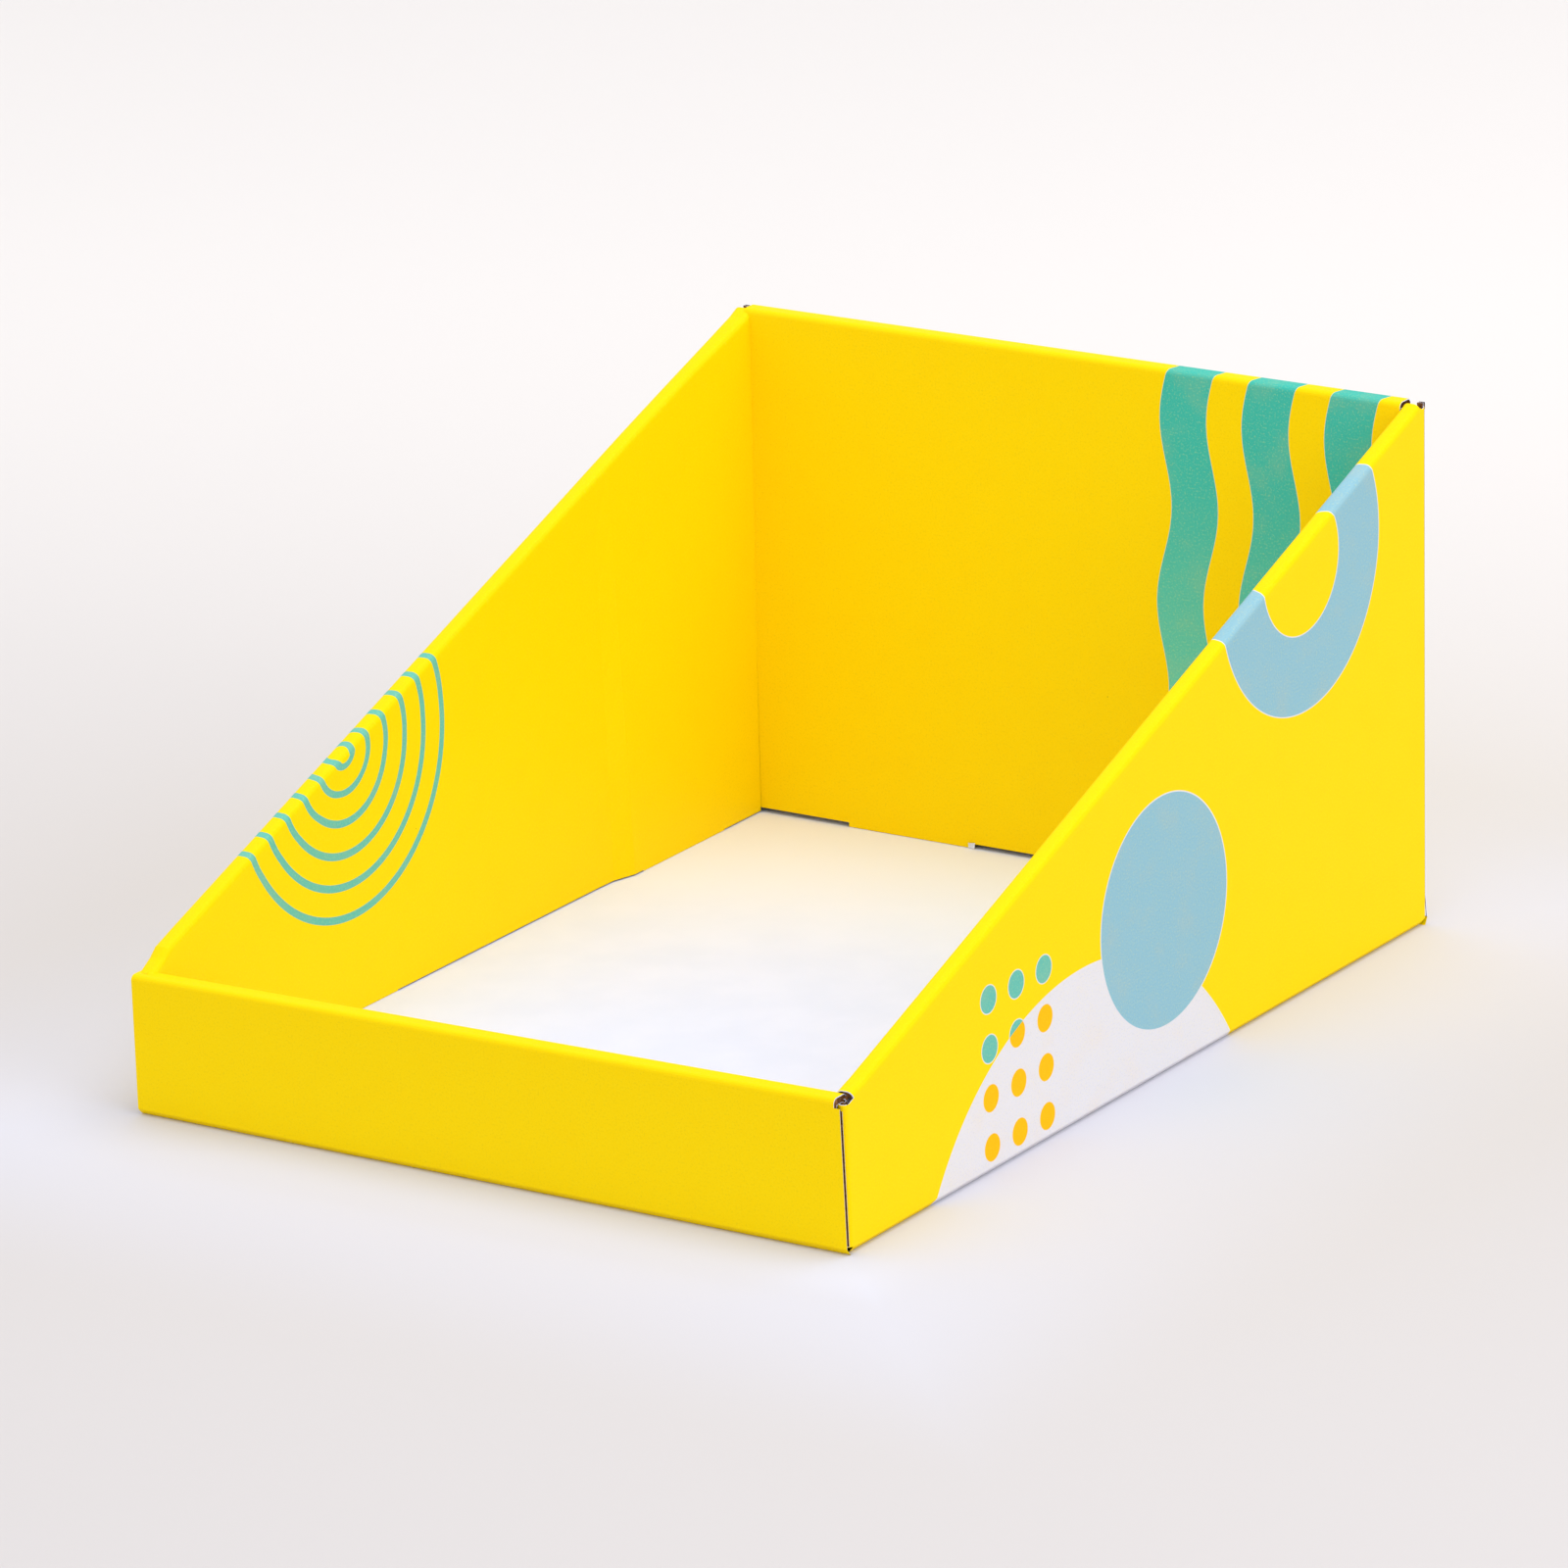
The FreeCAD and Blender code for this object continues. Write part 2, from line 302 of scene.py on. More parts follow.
# %% Sockets
class Wire:
    """One socket, with Python's operators as Math nodes."""

    def __init__(self, finish, socket):
        self.finish, self.socket = finish, socket

    def maths(self, kind, *others, swap=False):
        """The Math node of this kind, on this socket and some others."""
        terms = [self, *others]
        if swap:
            terms.reverse()
        return self.finish.node("ShaderNodeMath", {"operation": kind},
                                **{"_%d" % i: term for i, term in enumerate(terms)})

    def __add__(self, other):
        return self.maths("ADD", other)

    def __sub__(self, other):
        return self.maths("SUBTRACT", other)

    def __rsub__(self, other):
        return self.maths("SUBTRACT", other, swap=True)

    def __mul__(self, other):
        return self.maths("MULTIPLY", other)

    __radd__, __rmul__ = __add__, __mul__

    def __abs__(self):
        return self.maths("ABSOLUTE")

    def most(self, other):
        """The larger of two values."""
        return self.maths("MAXIMUM", other)

    def sine(self):
        """The sine of an angle in radians."""
        return self.maths("SINE")

    def step(self, start, end):
        """0 before start and 1 after end."""
        return self.finish.node("ShaderNodeMapRange", {"interpolation_type": "SMOOTHSTEP"},
                                _0=self, _1=start, _2=end, _3=0.0, _4=1.0)


print("a socket can be asked for:",
      ", ".join(name for name in vars(Wire) if not name.startswith("__")))

# %% [markdown]
# ## A finish
# A finish is one material. Colours are written as they should look, from 0 to 255, and
# turned into the linear values that the renderer wants. Colours go through Mix nodes, and
# any other node comes from one method: its type, its settings, then its socket values.


# %% Finishes
def seen(colour):
    """An sRGB colour from 0 to 255 as the linear values that Blender wants."""
    share = [c / 255 for c in colour]
    return tuple(c / 12.92 if c <= 0.04045 else ((c + 0.055) / 1.055) ** 2.4
                 for c in share) + (1.0,)


class Finish:
    """A material that is written as expressions."""

    def __init__(self, name, roughness):
        self.material = bpy.data.materials.new(name)
        self.material.use_nodes = True
        self.tree = self.material.node_tree
        self.shader = self.tree.nodes["Principled BSDF"]
        self.shader.inputs["Roughness"].default_value = roughness

    def node(self, kind, settings=None, out=0, **sockets):
        """Any node: settings first, then its sockets by name or by number."""
        made = self.tree.nodes.new(kind)
        for key, value in (settings or {}).items():
            setattr(made, key, value)
        for key, value in sockets.items():
            socket = made.inputs[int(key[1:])] if key[0] == "_" else made.inputs[key]
            if isinstance(value, Wire):
                self.tree.links.new(value.socket, socket)
            else:
                socket.default_value = value
        return Wire(self, made.outputs[out])

    def noise(self, spot, scale, detail=2.0):
        """Cloudy noise over the flat sheet, in waves per metre."""
        return self.node("ShaderNodeTexNoise", None, 0, Vector=spot, Scale=scale,
                         Detail=detail)

    def bump(self, height, strength):
        """The surface relief of a height in metres."""
        return self.node("ShaderNodeBump", None, 0, Strength=strength, Distance=1.0,
                         Height=height)

    def mix(self, share, first, second):
        """A colour between two colours; a tuple is a colour as it should look."""
        first, second = [c if isinstance(c, Wire) else seen(c) for c in (first, second)]
        return self.node("ShaderNodeMix", {"data_type": "RGBA"}, out=2,
                         _0=share, _6=first, _7=second)

    def set(self, **links):
        """The shader's own sockets, by name."""
        for name, value in links.items():
            name = name.replace("_", " ")
            if isinstance(value, Wire):
                self.tree.links.new(value.socket, self.shader.inputs[name])
            else:
                self.shader.inputs[name].default_value = value
        return self


print("print yellow in linear values:", [round(c, 3) for c in seen((255, 218, 0))[:3]])

# %% [markdown]
# ## Inks
# The sheet is printed in a few flat inks on its white outer liner. Each colour is one
# value, chosen so that it renders as the printed board looks under studio light. The
# stripes' green is a little paler further down.

# %% Inks
YELLOW = (255, 218, 0)
SKY = (144, 190, 203)
TEAL = (104, 190, 172)
GREEN_TOP = (66, 188, 170)
GREEN_LOW = (104, 203, 176)
AMBER = (255, 190, 0)
PAPER = (228, 225, 227)
HAIRLINE, THIN_LINE = 0.35, 0.12
EDGE = 0.12
print("inks: 6, with a pale line of %.2f mm where two meet" % HAIRLINE)

# %% [markdown]
# ## Shapes in ink
# Each point knows its place on the flat sheet in millimetres, so a ring that crosses a
# roll stays one ring. A shape is a distance: negative inside, positive outside. Where two
# inks meet, the press leaves a hairline of pale paper. An image would blur at close
# range, and these shapes stay sharp.


# %% Shapes
def place_on(finish):
    """The place on the flat sheet: as a vector in metres, then across and up in mm."""
    spot = finish.node("ShaderNodeAttribute", {"attribute_name": "flat"}, out=1)
    across = finish.node("ShaderNodeSeparateXYZ", None, 0, _0=spot)
    up = Wire(finish, across.socket.node.outputs[1])
    return spot, across * 1000.0, up * 1000.0


def disc(x, y, middle, radius):
    """The distance outside a circle, negative inside it."""
    dx, dy = x - middle[0], y - middle[1]
    return (dx * dx + dy * dy).maths("SQRT") - radius


def ring(x, y, middle, radius, half):
    """The distance outside a ring line of this half width."""
    return abs(disc(x, y, middle, radius)) - half


def lay(finish, ground, distance, ink, line=HAIRLINE):
    """Ink inside a shape, with the pale hairline round it."""
    if line:
        ground = finish.mix(1 - distance.step(line - EDGE, line + EDGE), ground, PAPER)
    return finish.mix(1 - distance.step(-EDGE, EDGE), ground, ink)


print("a printed edge is %.2f mm soft" % (2 * EDGE))

# %% [markdown]
# ## Printed paper
# On top of the inks lie a faint warm mottling, a fine paper grain, and a few dark specks
# from the pulp. The flutes show through the liner as a wave a few microns high. The board
# has no varnish, so it stays almost dull.


# %% Printed liner
def printed(name, artwork, level):
    """The printed liner with its artwork; level is true where the flutes' ridges lie level."""
    finish = Finish(name, 0.46)
    spot, x, y = place_on(finish)
    colour = artwork(finish, x, y)
    mottle = finish.noise(spot, 60.0, 3.0)
    colour = finish.mix(mottle.step(0.45, 0.75) * 0.06, colour, (255, 196, 0))
    grain = finish.noise(spot, 1300.0)
    colour = finish.mix(grain.step(0.52, 0.70) * 0.12, colour, (255, 238, 70))
    colour = finish.mix((1 - grain.step(0.30, 0.46)) * 0.08, colour, (90, 120, 60))
    dots = finish.node("ShaderNodeTexVoronoi", {"feature": "F1"}, 0, Vector=spot, Scale=46.0)
    speck = (1 - dots.step(0.009, 0.018)) * finish.noise(spot, 23.0).step(0.56, 0.60)
    colour = finish.mix(speck * 0.75, colour, (104, 80, 20))
    fibre = finish.noise(spot, 1700.0, 4.0)
    wave = ((y if level else x) * (2 * math.pi / PITCH)).sine()
    height = fibre * 0.000012 + wave * 0.000006 + mottle * 0.00002
    rough = 0.44 + fibre * 0.08 + mottle * 0.05
    finish.set(Base_Color=colour, Roughness=rough, Normal=finish.bump(height, 0.6),
               Specular_IOR_Level=0.05)
    print("%s: %d nodes" % (name, len(finish.tree.nodes)))
    return finish.material


# %% [markdown]
# ## The right wall's artwork
# A white hill rises from the base, with a block of dots over its slope. The dots are
# amber on the hill and teal beside it. A disc stands on the hill, and half a ring hangs
# over the roll at the top.

# %% Right wall
HILL = (-45.2, -59.4), 115.9
DOT_START, DOT_GAP, DOT_RADIUS = (-107.0, 63.9), (18.05, 18.1), 5.0
BIG_DISC = (9.7, 61.0), 42.6
HALF_RING = (108.4, 162.4), 41.1, 14.4


def right_side_art(finish, y, z):
    """Dots, disc, hill and ring on the right wall, in its own upright plane."""
    hill = disc(y, z, *HILL)
    colour = finish.mix(1 - hill.step(-EDGE, EDGE), YELLOW, PAPER)
    for column in range(3):
        for row in range(4):
            middle = (DOT_START[0] + DOT_GAP[0] * column, DOT_START[1] - DOT_GAP[1] * row)
            ink = finish.mix(1 - hill.step(-EDGE, EDGE), TEAL, AMBER)
            colour = lay(finish, colour, disc(y, z, middle, DOT_RADIUS), ink)
    colour = lay(finish, colour, disc(y, z, *BIG_DISC), SKY, line=0.45)
    return lay(finish, colour, ring(y, z, *HALF_RING), SKY)


right_print = printed("right wall print", right_side_art, False)

# %% [markdown]
# ## The left wall's artwork
# Six teal circles lie round one point just inside the roll, like ripples. They were
# fitted on the unfolded wall, where they are true circles. The smallest has a middle of
# its own, because it is drawn more like a hook.

# %% Left wall
RIPPLES = [((-77.5, 103.7), 5.5)]
RIPPLES += [((-78.8, 105.4), radius) for radius in (14.9, 26.1, 38.0, 49.7, 61.4)]
RIPPLE_HALF = 1.45


def left_side_art(finish, y, z):
    """Six teal circles round one point of the left wall's roll."""
    colour = YELLOW
    for middle, radius in RIPPLES:
        line = ring(y, z, middle, radius, RIPPLE_HALF)
        colour = lay(finish, colour, line, TEAL, line=0)
    return colour


left_print = printed("left wall print", left_side_art, False)

# %% [markdown]
# ## The rear wall's artwork
# Three wavy stripes run down the inside, over the roll and a hand's breadth down the
# outside. Their sway is one sine curve. The same curve serves all three, a stripe's
# distance apart.

# %% Rear wall, front lip and underside
STRIPE_AT, STRIPE_GAP, STRIPE_HALF = 53.35, 35.2, 9.95
SWAY, SWAY_LENGTH, SWAY_START = 2.85, 70.4, 147.5
STRIPE_LEAN, LEAN_START = 0.012, 147.0
OUTSIDE_END = 80.0


def rear_art(finish, x, v):
    """Three wavy stripes that come over the rear wall's roll."""
    down = 2 * REAR + END_ROLL - v
    turn = 2 * math.pi / SWAY_LENGTH
    sway = ((down - SWAY_START) * turn + math.pi / 2).sine() * SWAY
    middle = sway + (down - LEAN_START) * STRIPE_LEAN + STRIPE_AT
    ink = finish.mix(down.step(70.0, 175.0), GREEN_LOW, GREEN_TOP)
    colour = YELLOW
    for stripe in range(3):
        edge = abs(x - (middle + STRIPE_GAP * stripe)) - STRIPE_HALF
        edge = edge.most(REAR - OUTSIDE_END - v)
        colour = lay(finish, colour, edge, ink, line=THIN_LINE)
    return colour


def plain_art(finish, x, y):
    """Yellow all over."""
    return YELLOW


rear_print = printed("rear wall print", rear_art, True)
lip_print = printed("front lip print", plain_art, True)
under_print = printed("underside print", plain_art, True)

# %% [markdown]
# ## White liner and brown core
# The back of the sheet is uncoated white paper, duller and a little uneven. Towards the
# rear it is a shade lighter, to make up for the deeper shade between the walls. The
# fluting is brown recycled paper, seen only in the cut edges and mostly in shadow.


# %% Liner and core
def white_liner():
    """Uncoated white paper with a faint cloudiness and flute lines."""
    finish = Finish("white liner", 0.7)
    spot, _, y = place_on(finish)
    fibre = finish.noise(spot, 1400.0, 3.0)
    near = finish.mix(finish.noise(spot, 35.0, 4.0).step(0.3, 0.75), (221, 227, 248),
                      (226, 231, 251))
    colour = finish.mix(y.step(20.0, 180.0), near, (240, 244, 255))
    wave = (y * (2 * math.pi / PITCH)).sine()
    bump = finish.bump(fibre * 0.00002 + wave * 0.000004, 0.5)
    return finish.set(Base_Color=colour, Roughness=0.66 + fibre * 0.1, Normal=bump,
                      Specular_IOR_Level=0.25).material


def brown_core():
    """Brown fluting paper with darker fibres."""
    finish = Finish("brown core", 0.85)
    spot = place_on(finish)[0]
    fibre = finish.noise(spot, 500.0, 5.0)
    colour = finish.mix(fibre.step(0.3, 0.7), (100, 62, 30), (160, 112, 66))
    return finish.set(Base_Color=colour, Normal=finish.bump(fibre * 0.00006, 0.5),
                      Specular_IOR_Level=0.2).material


liner, core = white_liner(), brown_core()
print("liner and core:", liner.name, "and", core.name)

# %% [markdown]
# ## Slots in the base panel
# The floor of the tray is the middle of the sheet. It has eight narrow slots, two along
# each edge, for the walls' lock tabs. Each slot is as long as its tab and as wide as the
# board, with a little play.

# %% Slots
slots = []
for middle in END_TABS:
    for sign in (-1, 1):
        near, far = HALF_D - END_WALL - SLOT_PLAY, HALF_D - END_WALL + BOARD + SLOT_PLAY
        reach = END_TAB / 2 + SLOT_PLAY
        slots.append((middle - reach, middle + reach, *sorted((sign * near, sign * far))))
for middle in SIDE_TABS:
    for sign in (-1, 1):
        near, far = HALF_W - SIDE_WALL - SLOT_PLAY, HALF_W - BOARD
        reach = SIDE_TAB / 2 + SLOT_PLAY
        slots.append((*sorted((sign * near, sign * far)), middle - reach, middle + reach))
print("%d slots, the first from x %.1f to %.1f mm" % (len(slots), *slots[0][:2]))

# %% [markdown]
# ## Base panel
# White paper above, print below. Eight booleans would cut the slots, but a grid with
# lines at their edges keeps the faces tidy and gives each slot its own cut edge. The
# outer rim has none, because there the sheet runs on into the walls.

# %% Base panel
base = Sheet()
xs = lines(-HALF_W + BEND, HALF_W - BEND, 12, *{v for s in slots for v in s[:2]})
ys = lines(-HALF_D + BEND, HALF_D - BEND, 12, *{v for s in slots for v in s[2:]})
grid_x, grid_y = np.meshgrid(xs, ys, indexing="ij")
middles = (xs[:-1] + xs[1:]) / 2, (ys[:-1] + ys[1:]) / 2
cells = np.ones((len(xs) - 1, len(ys) - 1), bool)
for x0, x1, y0, y1 in slots:
    cells &= ~(((middles[0] > x0) & (middles[0] < x1))[:, None]
               & ((middles[1] > y0) & (middles[1] < y1))[None, :])
under = np.stack([grid_x, grid_y, np.zeros_like(grid_x)], axis=-1)
above = under + [0, 0, BOARD]
RIM = BEND + 0.3
base.board(under, above, np.stack([grid_x, grid_y], axis=-1), cells, wave=1, turn=True,
           joined=lambda x, y, z: abs(x) > HALF_W - RIM or abs(y) > HALF_D - RIM)
base.build("base_panel", [under_print, liner, core])

# %% [markdown]
# ## The section of an end wall
# The front lip and the rear wall are each one strip of board: up from the base, over the
# top, and down inside to a foot that may stand further in. Its section is drawn once, as
# matching points on the printed and the white side, with rounded folds. A solidify
# modifier would give both sides too, but it swells at tight folds.

# %% End section
ROLL_CUT = 3.2


def end_section(height, foot):
    """Stations along the strip: printed point, white point, place on the flat sheet."""
    low = BOARD + END_LIFT
    up = lines(BEND, height - FOLD, 8, height - ROLL_CUT)
    down = lines(low, height - FOLD, 8)[::-1]
    wide = END_ROLL + (foot - END_ROLL) * (height - FOLD - down) / (height - FOLD - low)
    out = [CREASE, np.c_[0 * up, up],
           arc((FOLD, height - FOLD), FOLD, 180, 90)[1:],
           arc((END_ROLL - FOLD, height - FOLD), FOLD, 90, 0)[:-1],
           np.c_[wide, down], [(foot, TAB_FOOT)]]
    under = height - BOARD - TIGHT
    back = [arc((BOARD + TIGHT, BOARD + TIGHT), TIGHT, 270, 180)[:-1],
            np.c_[0 * up + BOARD, BOARD + TIGHT + (up - BEND) / (height - FOLD - BEND)
                  * (under - BOARD - TIGHT)],
            arc((BOARD + TIGHT, under), TIGHT, 180, 90)[1:],
            arc((END_ROLL - BOARD - TIGHT, under), TIGHT, 90, 0)[:-1],
            np.c_[wide - BOARD, low + (down - low) / (height - FOLD - low) * (under - low)],
            [(foot - BOARD, TAB_FOOT)]]
    run = [np.linspace(-BEND, BEND, 5)[:-1], up,
           np.linspace(height - FOLD, height + FOLD, 5)[1:],
           height + END_ROLL + np.linspace(-FOLD, FOLD, 5)[:-1],
           2 * height + END_ROLL - down, [2 * height + END_ROLL - TAB_FOOT]]
    return np.concatenate(out), np.concatenate(back), np.concatenate(run)


print("the lip's section has", len(end_section(LIP, END_WALL)[0]), "stations")

# %% [markdown]
# ## From section to wall
# The section is drawn out along the width. At its ends the roll is cut shorter than the
# outer panel, and the wall stands ajar from the side walls by about a millimetre: the
# lip at its right end, the rear wall at both. Two tabs reach down to the base.
# Each end takes the kind of cut edge that it has on the real tray.

# %% End wall helpers
AJAR = 1.3
TORN = (-42.9, -40.2)


def spread(sign, height, section, across, thin=False):
    """A section at each place across; thin crushes the board towards the wall's ends."""
    grid = np.zeros((len(across), len(section), 3))
    inward = np.repeat(section[None, :, 0], len(across), 0)
    if thin:
        crushed = 0.5 + 0.5 * smooth(HALF_W - np.abs(across), 0.0, 8.0)
        inward = np.where(inward <= BOARD + TIGHT, inward * crushed[:, None], inward)
    up = section[None, :, 1]
    if sign < 0:
        ajar = AJAR * smooth(across, 143.0, 150.0)[:, None] * up / height
    else:
        ends = smooth(np.abs(across), 143.0, 150.0) * np.sign(across)
        ajar = ends[:, None] * np.clip(up / 8.0, 0, 1)
    grid[..., 0] = across[:, None] - ajar
    grid[..., 1] = sign * (HALF_D - inward)
    grid[..., 2] = section[None, :, 1]
    return grid


def flat_spots(run, across):
    """The places on the flat sheet for a grid of runs and widths."""
    return np.stack(np.broadcast_arrays(across[:, None], run[None, :]), axis=-1)


def torn_liner(foot):
    """A torn scrap of white liner beside the rear wall's left tab."""
    left, right = TORN
    return np.array([[[x, HALF_D - foot - 0.5 - 0.5 * math.sin(1.6 * (x + 43.0)) * s,
                       TAB_FOOT + 2.2 * s] for s in (0.0, 0.5, 1.0)]
                     for x in np.linspace(left, right, 5)])


print("torn liner, mm wide: %.1f" % (TORN[1] - TORN[0]))

# %% [markdown]
# ## Front lip and rear wall
# The lip's roll runs to the left corner, over the left wall, so its inner panel is cut
# away where that wall stands. At the rear wall's top corners the roll ends early, and a
# strip of the outer panel stands up beside it with its liner torn off, so the brown core
# shows. The rear wall's inner panel leans in by a few millimetres at its foot.


# %% End walls
def end_wall(name, height, foot, roll_ends, sign, finish, strip=None):
    """One end wall; sign is -1 at the front and 1 at the rear, strip its torn corners."""
    out, back, run = end_section(height, foot)
    shoulder = height - ROLL_CUT
    tucked = -HALF_W + BOARD + 0.2
    tab_edges = [m + s * END_TAB / 2 for m in END_TABS for s in (-1, 1)]
    strip_edges = (-strip[0], strip[0]) if strip else ()
    near_ends = [s * (HALF_W - d) for s in (-1, 1) for d in (1.5, 3.0, 5.0)]
    across = lines(-HALF_W, HALF_W, 10, *roll_ends, *tab_edges, tucked, *strip_edges,
                   *near_ends)
    middle = (across[:-1] + across[1:]) / 2
    cells = np.ones((len(across) - 1, len(out) - 1), bool)
    split = int(np.argmax(np.isclose(out[:, 1], shoulder)))
    cells[(middle < roll_ends[0]) | (middle > roll_ends[1]), split:] = False
    inner = int(np.argmax((out[:, 0] > BOARD) & (out[:, 1] < height - FOLD + 0.01)))
    cells[middle < tucked, inner:] = False
    in_tab = np.any([np.abs(middle - m) < END_TAB / 2 for m in END_TABS], axis=0)
    cells[~in_tab, -1] = False

    def joined(x, y, z):
        on_strip = strip is not None and abs(x) > strip[0] - 0.5
        return z < 2.5 or (on_strip and abs(z - shoulder) < 0.01)

    def pressed(x, y, z):
        if abs(x) < HALF_W - 1.5 or z > shoulder:
            return None
        return CRUSHED if sign > 0 else SHADOWED

    def panel(section, white, run, across, cells, behind):
        wall.board(spread(sign, height, section, across),
                   spread(sign, height, white, across, True), flat_spots(run, across), cells,
                   wave=1, turn=sign > 0, joined=joined, pressed=pressed, behind=behind)

    wall = Sheet()
    panel(out, back, run, across, cells, PLAIN)
    for side in (-1, 1) if strip is not None else ():
        ends = np.linspace(strip[0], HALF_W, 3)[::side] * side
        ups = np.array([shoulder, height - 1.8, strip[1]])
        raw = np.c_[[0, 0, 0], ups]
        panel(raw, raw + [BOARD, 0], ups, ends, None, CORE)
    if sign > 0:
        torn = torn_liner(foot)
        wall.patch(torn, torn[..., ::2], PLAIN, None, True)
    return wall.build(name, [finish, liner, core])


end_wall("front_lip", LIP, END_WALL, (-HALF_W, 147.2), -1, lip_print)
end_wall("rear_wall", REAR, REAR_FOOT, (-144.6, 143.0), 1, rear_print, (147.3, REAR - 1.0))

# %% [markdown]
# ## The section of a side wall
# A side wall works the same way, but its top slants, so the roll follows the slope and
# each upright line of the grid has its own length. A section is drawn for each place
# along the wall. Its foot may stand further in than its roll, since the real inner panels
# lean.

# %% Side section
NORMAL = np.array([-math.sin(SLOPE), math.cos(SLOPE)])
MIDDLE = (REAR + LIP) / 2
TURN = 2.4
PANEL_END, ROLL_END, FOOT_END = 12, 21, 30


def side_column(y, roll, foot, rolled):
    """Stations of the strip at one place along the wall, as (inward, along, up)."""
    top = MIDDLE + INCLINE * y

    def turned(inward, below):
        step = -below * NORMAL
        return [inward, y + step[0], top + step[1]]

    start = np.array(turned(0, TURN) if rolled else [0, y, top - TURN / math.cos(SLOPE)])
    out = [[a, y, z] for a, z in [*CREASE, (0.0, BEND)]]
    out += [[0, y + (start[1] - y) * s, BEND + (start[2] - BEND) * s]
            for s in np.linspace(0, 1, 9)[1:]]
    out += [turned(a, TURN - b) for a, b in arc((TURN, 0), TURN, 180, 90)[1:]]
    out += [turned(a, TURN - b) for a, b in arc((roll - TURN, 0), TURN, 90, 0)]
    low = BOARD + SIDE_LIFT
    down = np.linspace(0, 1, 9)[1:]
    out += [[roll + (foot - roll) * s, start[1] + (y - start[1]) * s,
             start[2] + (low - start[2]) * s] for s in down]
    out += [[foot, y, TAB_FOOT]]
    under = top - (BOARD + TIGHT) / math.cos(SLOPE)
    high = top - BOARD / math.cos(SLOPE)
    back = [[a, y, z] for a, z in arc((BOARD + TIGHT, BOARD + TIGHT), TIGHT, 270, 180)]
    back += [[BOARD, y, BOARD + TIGHT + (under - BOARD - TIGHT) * s]
             for s in np.linspace(0, 1, 9)[1:]]
    tight = min(TIGHT, roll / 2 - BOARD)
    back += [[a, y, z] for a, z in
             zip(BOARD + tight * np.linspace(0, 0.9, 5)[1:], np.linspace(under, high, 5)[1:])]
    back += [[a, y, z] for a, z in
             zip(roll - BOARD - tight * np.linspace(0.9, 0, 5), np.linspace(high, under, 5))]
    back += [[roll - BOARD + (foot - roll) * s, y, under + (low - under) * s] for s in down]
    back += [[foot - BOARD, y, TAB_FOOT]]
    return np.array(out), np.array(back)


print("a side section has", len(side_column(0.0, SIDE_ROLL, SIDE_ROLL, True)[0]), "stations")

# %% [markdown]
# ## The side wall's place on the flat sheet
# The print needs the wall unfolded. A point's flat place is its place in the outer
# panel's own plane, with the roll and the inner panel swung upwards over the slanting
# fold. That keeps the printed circles round where they cross it.


# %% Unfolding
def unfolded(points, roll):
    """Flat places of the stations: outer panel, then roll, then inner panel."""
    place = points[..., 1:]
    above = (place - [0, MIDDLE]) @ NORMAL
    lift = np.zeros(points.shape[:2])
    over, down = slice(PANEL_END + 1, ROLL_END + 1), slice(ROLL_END + 1, None)
    lift[:, over] = points[:, over, 0] - above[:, over]
    lift[:, down] = roll[:, None] - 2 * above[:, down]
    return place + lift[..., None] * NORMAL


print("unfolding swings over a line %.1f mm up at the middle" % MIDDLE)

# %% [markdown]
# ## Corner flaps
# Each side wall ends in two flaps that fold inwards behind the lip and the rear wall and
# hold the corners together. They are hidden but for their fold, so each is one plain
# panel round a short arc. From the fold it steps in at once, to lie behind the end wall.

# %% Corner flaps
FLAP, FLAP_BENT = 60.0, 5.2


def add_flap(wall, sign, end):
    """The flap at one end of a side wall, folded in behind the end wall."""
    corner_at = CORNERS[end]
    flap_top = MIDDLE + INCLINE * end * (corner_at - FOLD) - TURN / math.cos(SLOPE)
    ups = lines(BEND, flap_top, 10)
    reach = lines(FOLD, FLAP, 4, 2.6, 3.3, 4.2, FLAP_BENT)[1:]
    bend = (corner_at - FLANK) * smooth(reach, FOLD, FLAP_BENT)
    corner = np.r_[arc((FOLD, FOLD), FOLD, 180, 270), np.c_[reach, bend]]
    deep = BOARD + TIGHT
    inner = np.r_[arc((deep, deep), TIGHT, 180, 270),
                  np.c_[deep + (reach - FOLD) * (FLAP - deep) / (FLAP - FOLD), bend + BOARD]]
    run = np.r_[0, np.cumsum(np.linalg.norm(np.diff(corner, axis=0), axis=1))]

    def stand(section):
        grid = np.zeros((len(section), len(ups), 3))
        grid[..., 0] = sign * (HALF_W - section[:, None, 0])
        grid[..., 1] = end * (corner_at - section[:, None, 1])
        grid[..., 2] = ups[None, :]
        return grid

    spots = np.stack(np.broadcast_arrays(end * (corner_at - FOLD + run[:, None]),
                                         ups[None, :]), axis=-1)
    wall.board(stand(corner), stand(inner), spots, None, wave=0,
               turn=(sign > 0) == (end < 0),
               joined=lambda x, y, z: abs(x) > HALF_W - 0.1)


print("flaps, mm long: %.0f" % FLAP)

# %% [markdown]
# ## Side walls
# The two walls mirror each other but for wear. The left one's roll runs on to the front
# corner and opens a little towards the rear, where its inner panel also stands further
# in. Both inner panels stop just short of the rear wall, along its lean.

# %% Side walls
INNER_END = (-189.4, 189.0)
ROLL_RANGE = {1: (-193.6, 195.4), -1: (FOLD - CORNERS[-1], 195.4)}
ROLL_OPENS, FOOT, FOOT_STEP = 1.4, 9.7, 3.2
REAR_GAP = (0.7, 0.3)
ROLL_SLANT = 1.5


